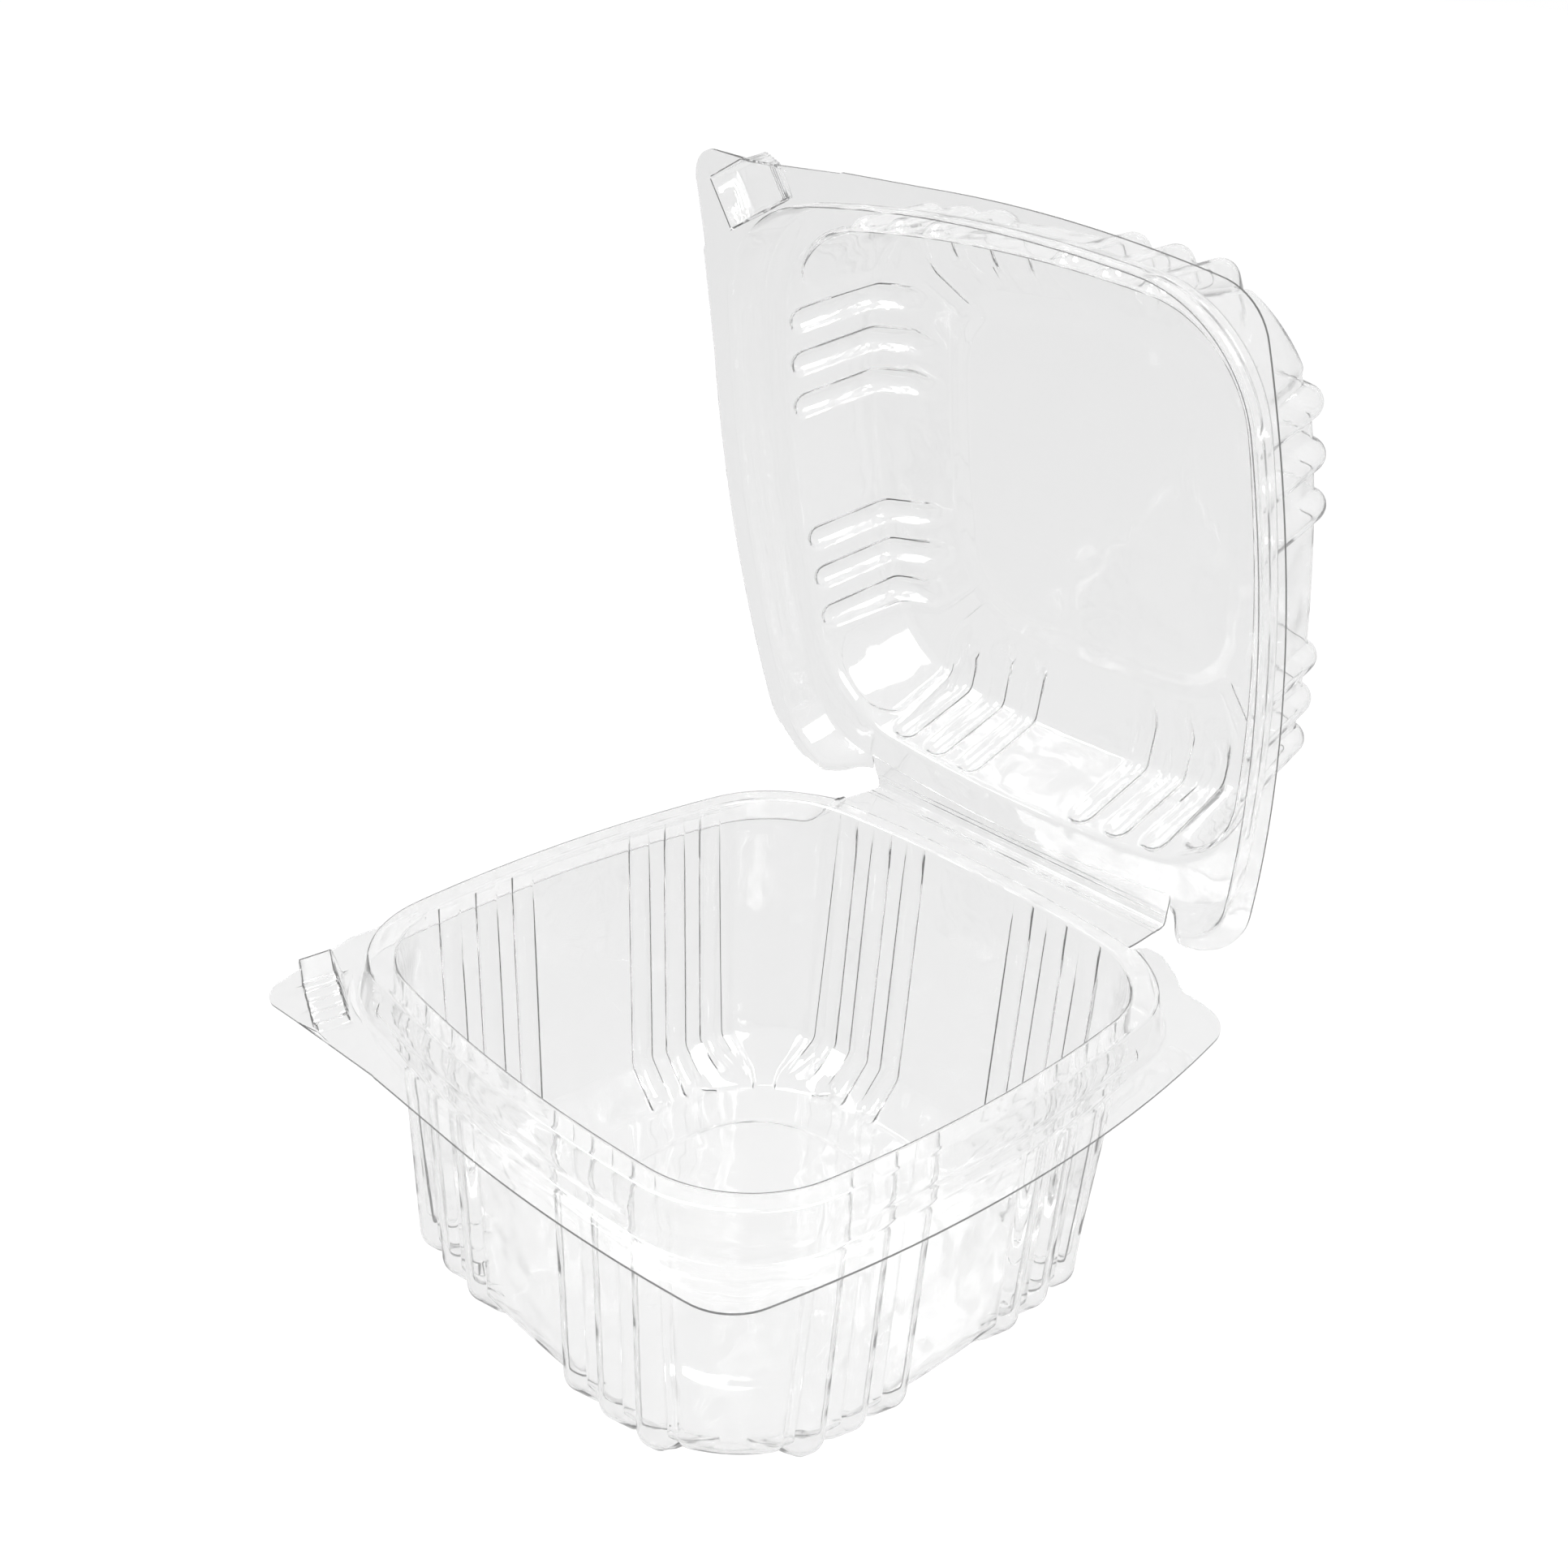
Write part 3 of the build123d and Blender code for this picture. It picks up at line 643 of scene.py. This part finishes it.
def grip_sheet(half):
    """Stepped grip (base) or its cover (lid) on the tab: a grid in the tab's own frame."""
    grow = LID_SHIFT if half.is_lid else 0.0
    play = POCKET_PLAY if half.is_lid else 0.0
    fall = GRIP_HEIGHT / GRIP_STEPS
    top = GRIP_HEIGHT + grow
    runs = [-0.45 - grow, -0.2 - grow, -grow, 0.35 - grow]
    rises = [0, 0.35, top - 0.5, top]
    for step in range(GRIP_STEPS):
        edge = GRIP_TOP + step * GRIP_RUN + grow
        low = top - (step + 1) * fall
        high, down = low + fall, edge + GRIP_RUN / 3
        runs += [edge - 0.9, edge - 0.35, edge, down - 0.1, down + 0.3]
        rises += [high, high, high - 0.15, low + 0.15, low]
    runs += [edge + 1.4]
    rises += [0.0]
    rises = np.clip(np.array(rises), 0, None)
    rises[-2:] = (grow * 0.5, 0.0)
    wide = GRIP_WIDTH / 2 + grow
    across = [-wide - 0.4, -wide - 0.15, -wide, -wide + 0.3, -wide / 2, 0, wide / 2]
    across += [wide + play - 0.3, wide + play, wide + play + 0.15, wide + play + 0.4]
    share = np.array([0, 0.06, 0.9, 1, 1, 1, 1, 1, 0.9, 0.06, 0])
    run, away = np.meshgrid(runs, across, indexing="ij")
    height = rises[:, None] * share[None, :]
    start = TIP @ ALONG + GRIP_START
    base = tab_root(0.0) + GRIP_AWAY
    room = (HALF_Y - TAB_EDGE_PLAY + ALONG[1] * (start + run)) / -AWAY[1] - base
    away = np.where(away > 0, away * np.minimum(1, room / max(across)), away)
    return np.stack([ALONG[0] * (start + run) + AWAY[0] * (base + away),
                     ALONG[1] * (start + run) + AWAY[1] * (base + away),
                     half.flange_z + height], -1)


def tab_patch(half, grid):
    """The flat of the tab past its root line, with a hole for the grip, and the grip itself."""
    edge = grid[-1]
    past = np.abs(edge[:, 0] * AWAY[0] + edge[:, 1] * AWAY[1] - half.root) < 0.002
    root = edge[past]
    root = root[np.argsort(root[:, :2] @ ALONG)]
    outline = tab_outline(28)
    outline = outline[outline @ AWAY > half.root + 0.05]
    dense = [outline[0]]
    for first, second in zip(outline, outline[1:]):
        count = max(1, int(np.hypot(*(second - first)) / 2.0))
        dense += [first + (second - first) * (i + 1) / count for i in range(count)]
    loop = np.vstack([root[::-1, :2], np.array(dense)])
    grip = grip_sheet(half)
    rim = np.vstack([grip[:, 0], grip[-1, 1:], grip[-2::-1, -1], grip[0, -2:0:-1]])[:, :2]
    inner = [(at[0], at[1]) for at in rim]
    lines = [(i, (i + 1) % len(loop)) for i in range(len(loop))]
    lines += [(len(loop) + i, len(loop) + (i + 1) % len(inner)) for i in range(len(inner))]
    extra = tab_fill(loop, rim, half)
    points = [Vector(at) for at in list(map(tuple, loop)) + inner + extra]
    found, _edges, faces, *_rest = delaunay_2d_cdt(points, lines, [], 1, 1e-5)
    verts = np.array([(at.x, at.y, half.flange_z) for at in found])
    grip_run = (rim @ ALONG).min(), (rim @ ALONG).max()
    grip_away = (rim @ AWAY).min(), (rim @ AWAY).max()
    kept = []
    for face in faces:
        at = verts[list(face)].mean(0)[:2]
        beside = grip_run[0] < at @ ALONG < grip_run[1]
        if not (beside and grip_away[0] < at @ AWAY < grip_away[1]):
            kept.append(face)
    return verts, kept, grip


def tab_fill(loop, rim, half):
    """Inner points of the tab's plate, so that its triangles stay even."""
    spots = []
    for run in np.arange(-44, 20, TAB_FILL):
        for away in np.arange(half.root + 1.5, half.root + 18, TAB_FILL):
            at = ALONG * run + AWAY * away
            clear = np.hypot(*(loop - at).T).min() > 1.2 and np.hypot(*(rim - at).T).min() > 1.0
            inside = inside_convex(at[:1], at[1:], tab_outline(28))[0]
            if clear and inside:
                spots.append(tuple(at))
    return spots


# ---------------------------------------------------------------- meshes
def opened(points):
    """From the shut lid to its resting place."""
    out = points.copy()
    y, z = points[..., 1] - HINGE_Y, points[..., 2] - HINGE_Z
    out[..., 1] = y * np.cos(-OPENING) - z * np.sin(-OPENING) + HINGE_Y
    out[..., 2] = y * np.sin(-OPENING) + z * np.cos(-OPENING) + HINGE_Z
    return out


def make_mesh(name, points, faces, up):
    """A sheet from points in millimetres: welded, then thickened on the side away from up."""
    mesh = bpy.data.meshes.new(name)
    mesh.from_pydata((points / MM).tolist(), [], faces)
    work = bmesh.new()
    work.from_mesh(mesh)
    bmesh.ops.remove_doubles(work, verts=work.verts, dist=2e-6)
    bmesh.ops.dissolve_degenerate(work, edges=work.edges, dist=1e-7)
    bmesh.ops.recalc_face_normals(work, faces=work.faces)
    work.faces.ensure_lookup_table()
    if sum(face.normal.dot(up) * face.calc_area() for face in work.faces) < 0:
        bmesh.ops.reverse_faces(work, faces=work.faces)
    work.to_mesh(mesh)
    work.free()
    obj = bpy.data.objects.new(name, mesh)
    bpy.context.scene.collection.objects.link(obj)
    thick = obj.modifiers.new("gauge", "SOLIDIFY")
    thick.thickness = SHEET / MM
    thick.offset = -1
    thick.use_even_offset = False
    bpy.context.view_layer.update()
    solid = obj.evaluated_get(bpy.context.evaluated_depsgraph_get())
    obj.data = bpy.data.meshes.new_from_object(solid)
    obj.modifiers.clear()
    obj.data.name = name
    obj.data.shade_smooth()
    obj.data.set_sharp_from_angle(angle=SHARP_ANGLE)
    return obj


def grid_faces(rows, columns, start, closed, keep):
    faces = []
    for i in range(rows - 1):
        for j in range(columns if closed else columns - 1):
            after = (j + 1) % columns
            if keep(i, j, after):
                faces.append((start + i * columns + j, start + i * columns + after,
                              start + (i + 1) * columns + after, start + (i + 1) * columns + j))
    return faces


def floor_rows(half, first):
    """Rows from the floor's or roof's middle out to the first row of the sheet."""
    if half.is_lid:
        steps = [(0.04, 0), (0.35, 0), (0.7, 0), (0.93, 0), (0.955, -0.25), (0.975, -0.25)]
    else:
        steps = [(0.04, 0.8), (0.3, 0.8), (0.55, 0.8), (0.78, 0.8),
                 (0.80, 0.72), (0.825, 0.1), (0.845, 0.0)]
    panel = Ring(37.0, 14.0) if half.is_lid else Ring(27.5, 24.0)
    inner = place_row(panel)[:2].T
    out = []
    for share, rise in steps:
        mix = smoothstep(np.array(share), 0.7, 1.0)
        plan = (inner * (1 - mix) + first[:, :2] * mix) * share
        out.append(np.column_stack([plan, first[:, 2] + rise]))
    return out


def build_half(half, name):
    """One half's sheet, and the edge of its land."""
    grid = half_grid(half)
    middle_rows = floor_rows(half, grid[0])
    grid = np.concatenate([np.array(middle_rows), grid])
    flat = land_row(half) + len(middle_rows)
    for row in grid[flat + 1:]:
        row[:, 2] = half.land + (row[:, 2] - half.land) * rear_window(row)
    edge = grid[flat]

    def keep(i, j, after):
        behind = edge[j, 1] > 0 and min(abs(edge[j, 0]), abs(edge[after, 0])) < NOTCH_INNER
        return i < flat or not behind
    rows = len(grid)
    faces = grid_faces(rows, COUNT, 0, True, keep)
    faces += [(rows * COUNT, j, (j + 1) % COUNT) for j in range(COUNT)]
    plate, plate_faces, grip = tab_patch(half, grid)
    verts = [grid.reshape(-1, 3), grid[0].mean(0)[None],
             droop(plate, half), droop(grip.reshape(-1, 3), half)]
    count = rows * COUNT + 1
    faces += [tuple(count + v for v in face) for face in plate_faces]
    faces += grid_faces(*grip.shape[:2], count + len(plate), False, lambda i, j, after: True)
    points = np.concatenate(verts)
    up = Vector((0, 0, 1))
    if half.is_lid:
        points, edge = opened(points), opened(edge)
        up = Matrix.Rotation(-OPENING, 3, "X") @ up
    return make_mesh(name, points, faces, up), edge


def hinge_strip(base_edge, lid_edge):
    """The strip between the two lands, bent round at the hinge, with its pressed creases."""
    near = NOTCH_INNER + 0.6
    behind = [j for j in range(COUNT) if base_edge[j, 1] > 0
              and max(abs(base_edge[j, 0]), abs(lid_edge[j, 0])) < near]
    behind.sort(key=lambda j: base_edge[j, 0])
    leaf = np.array([-np.cos(OPENING), np.sin(OPENING)])
    under = opened(np.array([[0, HINGE_Y, LID_LAND_Z - SHEET]]))[0, 1:]
    corner_y = under[0] + leaf[0] * (LAND_Z - under[1]) / leaf[1]
    rows = []
    for j in behind:
        start = np.array([base_edge[j, 1], LAND_Z])
        end = lid_edge[j, 1:] - np.array([np.sin(OPENING), np.cos(OPENING)]) * SHEET
        path = strip_path(start, np.array([corner_y, LAND_Z]), end)
        share = np.linspace(0, 1, len(path))
        pinch = np.sin(np.pi * share) ** 2 * (abs(base_edge[j, 0]) / NOTCH_INNER) ** 8
        x = base_edge[j, 0] + (lid_edge[j, 0] - base_edge[j, 0]) * share
        x = x - np.sign(x) * pinch * (NOTCH_INNER - HINGE_HALF)
        rows.append(np.column_stack([x, path]))
    grid = np.array(rows)
    faces = grid_faces(grid.shape[0], grid.shape[1], 0, False, lambda i, j, after: True)
    return make_mesh("hinge_strip", grid.reshape(-1, 3), faces, Vector((0, -0.6, 1)))


def strip_path(start, corner, end):
    """One column of the strip: flat, a tight round bend at the hinge, flat, and ridged creases."""
    first = (start - corner) / np.hypot(*(start - corner))
    second = (end - corner) / np.hypot(*(end - corner))
    points = []
    for direction, far in ((first, start), (second, end)):
        length = np.hypot(*(far - corner))
        at = np.linspace(length, HINGE_TRIM, 26)
        normal = second if direction is first else first
        ridge = sum(np.exp(-((at - spot) / CREASE_WIDTH) ** 2) for spot in CREASES)
        line = corner + direction * at[:, None] - normal * (CREASE_HEIGHT * ridge)[:, None]
        points.append(line if direction is first else line[::-1])
    share = np.linspace(0, 1, 9)[1:-1, None]
    start, end = corner + first * HINGE_TRIM, corner + second * HINGE_TRIM
    bend = (1 - share) ** 2 * start + 2 * share * (1 - share) * corner + share ** 2 * end
    return np.vstack([points[0], bend, points[1]])


# ---------------------------------------------------------------- materials
def clear_plastic(name, tint, roughness, wave, haze):
    """Clear formed sheet: glass-like, faintly grey, slightly wavy, with fine scuffs."""
    mat = bpy.data.materials.new(name)
    mat.use_nodes = True
    nodes, links = mat.node_tree.nodes, mat.node_tree.links
    shader = nodes["Principled BSDF"]
    shader.inputs["Transmission Weight"].default_value = 0.98
    shader.inputs["IOR"].default_value = 1.575
    coords = nodes.new("ShaderNodeTexCoord")

    def noise(scale, detail):
        node = nodes.new("ShaderNodeTexNoise")
        node.inputs["Scale"].default_value = scale
        node.inputs["Detail"].default_value = detail
        links.new(coords.outputs["Object"], node.inputs["Vector"])
        return node

    def ramp(source, low, high, span):
        node = nodes.new("ShaderNodeMapRange")
        node.inputs["From Min"].default_value, node.inputs["From Max"].default_value = span
        node.inputs["To Min"].default_value, node.inputs["To Max"].default_value = low, high
        links.new(source, node.inputs["Value"])
        return node
    cloud = noise(22, 3)
    shade = nodes.new("ShaderNodeMix")
    shade.data_type = "RGBA"
    shade.inputs["A"].default_value = (*[tint * 0.985] * 3, 1)
    shade.inputs["B"].default_value = (*[min(1.0, tint * 1.01)] * 3, 1)
    links.new(cloud.outputs["Fac"], shade.inputs["Factor"])
    links.new(shade.outputs["Result"], shader.inputs["Base Color"])
    scuff = noise(900, 2)
    scuffed = ramp(scuff.outputs["Fac"], roughness, roughness + haze, (0.55, 0.75))
    links.new(scuffed.outputs["Result"], shader.inputs["Roughness"])
    bump = nodes.new("ShaderNodeBump")
    bump.inputs["Strength"].default_value = 0.35
    bump.inputs["Distance"].default_value = wave
    links.new(noise(95, 1).outputs["Fac"], bump.inputs["Height"])
    links.new(bump.outputs["Normal"], shader.inputs["Normal"])
    rays = nodes.new("ShaderNodeLightPath")
    through = nodes.new("ShaderNodeBsdfTransparent")
    through.inputs["Color"].default_value = (0.93, 0.93, 0.93, 1)
    mix = nodes.new("ShaderNodeMixShader")
    links.new(rays.outputs["Is Shadow Ray"], mix.inputs["Fac"])
    links.new(shader.outputs["BSDF"], mix.inputs[1])
    links.new(through.outputs["BSDF"], mix.inputs[2])
    links.new(mix.outputs["Shader"], nodes["Material Output"].inputs["Surface"])
    return mat


def seen_or_through(tree, through):
    """A strength that is FLOOR_SEEN for the camera's own rays and through for all the others."""
    rays = tree.nodes.new("ShaderNodeLightPath")
    pick = tree.nodes.new("ShaderNodeMix")
    pick.inputs["B"].default_value = FLOOR_SEEN
    if isinstance(through, float):
        pick.inputs["A"].default_value = through
    else:
        tree.links.new(through, pick.inputs["A"])
    tree.links.new(rays.outputs["Is Camera Ray"], pick.inputs["Factor"])
    return pick.outputs["Result"]


def floor_material():
    mat = bpy.data.materials.new("pale_floor")
    mat.use_nodes = True
    shader = mat.node_tree.nodes["Principled BSDF"]
    shader.inputs["Base Color"].default_value = (0.03, 0.03, 0.03, 1)
    shader.inputs["Roughness"].default_value = 0.9
    shader.inputs["Specular IOR Level"].default_value = 0.0
    shader.inputs["Emission Color"].default_value = (1, 1, 1, 1)
    glow = seen_or_through(mat.node_tree, FLOOR_THROUGH)
    mat.node_tree.links.new(glow, shader.inputs["Emission Strength"])
    return mat


# ---------------------------------------------------------------- studio
def direction(azimuth, elevation):
    """Unit vector from the object towards a light or the camera."""
    a, e = np.radians(azimuth), np.radians(elevation)
    return Vector((np.sin(a) * np.cos(e), -np.cos(a) * np.cos(e), np.sin(e)))


def make_camera():
    cam = bpy.data.objects.new("camera", bpy.data.cameras.new("camera"))
    bpy.context.scene.collection.objects.link(cam)
    azimuth, elevation, distance = CAMERA_BACK
    back = direction(azimuth, elevation)
    cam.data.lens, cam.data.sensor_width = CAMERA_LENS, CAMERA_SENSOR
    cam.data.clip_start = 0.01
    cam.location = Vector(CAMERA_TARGET) + back * distance
    turn = (-back).to_track_quat("-Z", "Y").to_matrix() @ Matrix.Rotation(CAMERA_ROLL, 3, "Z")
    cam.rotation_euler = turn.to_euler()
    bpy.context.scene.camera = cam


def softbox(name, azimuth, elevation, width, height, power):
    light = bpy.data.lights.new(name, "AREA")
    light.shape = "RECTANGLE"
    light.size, light.size_y = width, height
    light.energy = power
    obj = bpy.data.objects.new(name, light)
    bpy.context.scene.collection.objects.link(obj)
    back = direction(azimuth, elevation)
    obj.location = Vector(CAMERA_TARGET) + back * SOFTBOX_AWAY
    obj.rotation_euler = back.to_track_quat("Z", "Y").to_euler()


def make_world():
    world = bpy.data.worlds.new("studio")
    world.use_nodes = True
    nodes, links = world.node_tree.nodes, world.node_tree.links
    coords = nodes.new("ShaderNodeTexCoord")
    split = nodes.new("ShaderNodeSeparateXYZ")
    ramp = nodes.new("ShaderNodeMapRange")
    ramp.inputs["From Min"].default_value, ramp.inputs["From Max"].default_value = 0.02, 0.35
    ramp.inputs["To Min"].default_value = HORIZON_GLOW
    ramp.inputs["To Max"].default_value = ZENITH_GLOW
    links.new(coords.outputs["Generated"], split.inputs["Vector"])
    links.new(split.outputs["Z"], ramp.inputs["Value"])
    strength = seen_or_through(world.node_tree, ramp.outputs["Result"])
    links.new(strength, nodes["Background"].inputs["Strength"])
    nodes["Background"].inputs["Color"].default_value = (1, 1, 1, 1)
    bpy.context.scene.world = world


def make_floor():
    mesh = bpy.data.meshes.new("floor")
    mesh.from_pydata([(-9, -9, 0), (9, -9, 0), (9, 9, 0), (-9, 9, 0)], [], [(0, 1, 2, 3)])
    floor = bpy.data.objects.new("floor", mesh)
    bpy.context.scene.collection.objects.link(floor)
    floor.location.z = CAD_BOX[0].z - 0.0002
    mesh.materials.append(floor_material())


# ---------------------------------------------------------------- scene
make_camera()
make_world()
make_floor()
for box in SOFTBOXES:
    softbox(*box)
bpy.context.scene.view_settings.view_transform = "Standard"

base_sheet, base_edge = build_half(Half(False), "base_sheet")
lid_sheet, lid_edge = build_half(Half(True), "lid_sheet")
strip = hinge_strip(base_edge, lid_edge)
sheet_look = clear_plastic("clear_sheet", 0.975, 0.03, 0.0012, 0.05)
hinge_look = clear_plastic("clear_hinge", 0.95, 0.06, 0.0008, 0.08)
for piece, look in ((base_sheet, sheet_look), (lid_sheet, sheet_look), (strip, hinge_look)):
    piece.data.materials.clear()
    piece.data.materials.append(look)
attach(base_sheet, "base")
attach(lid_sheet, "lid")
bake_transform(strip)
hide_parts("base_tub", "base_rim", "base_thumb_tab")
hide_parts("lid_dome", "lid_rim", "lid_thumb_tab")
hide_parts("base_hinge_leaf", "lid_hinge_leaf", "hinge_bead")
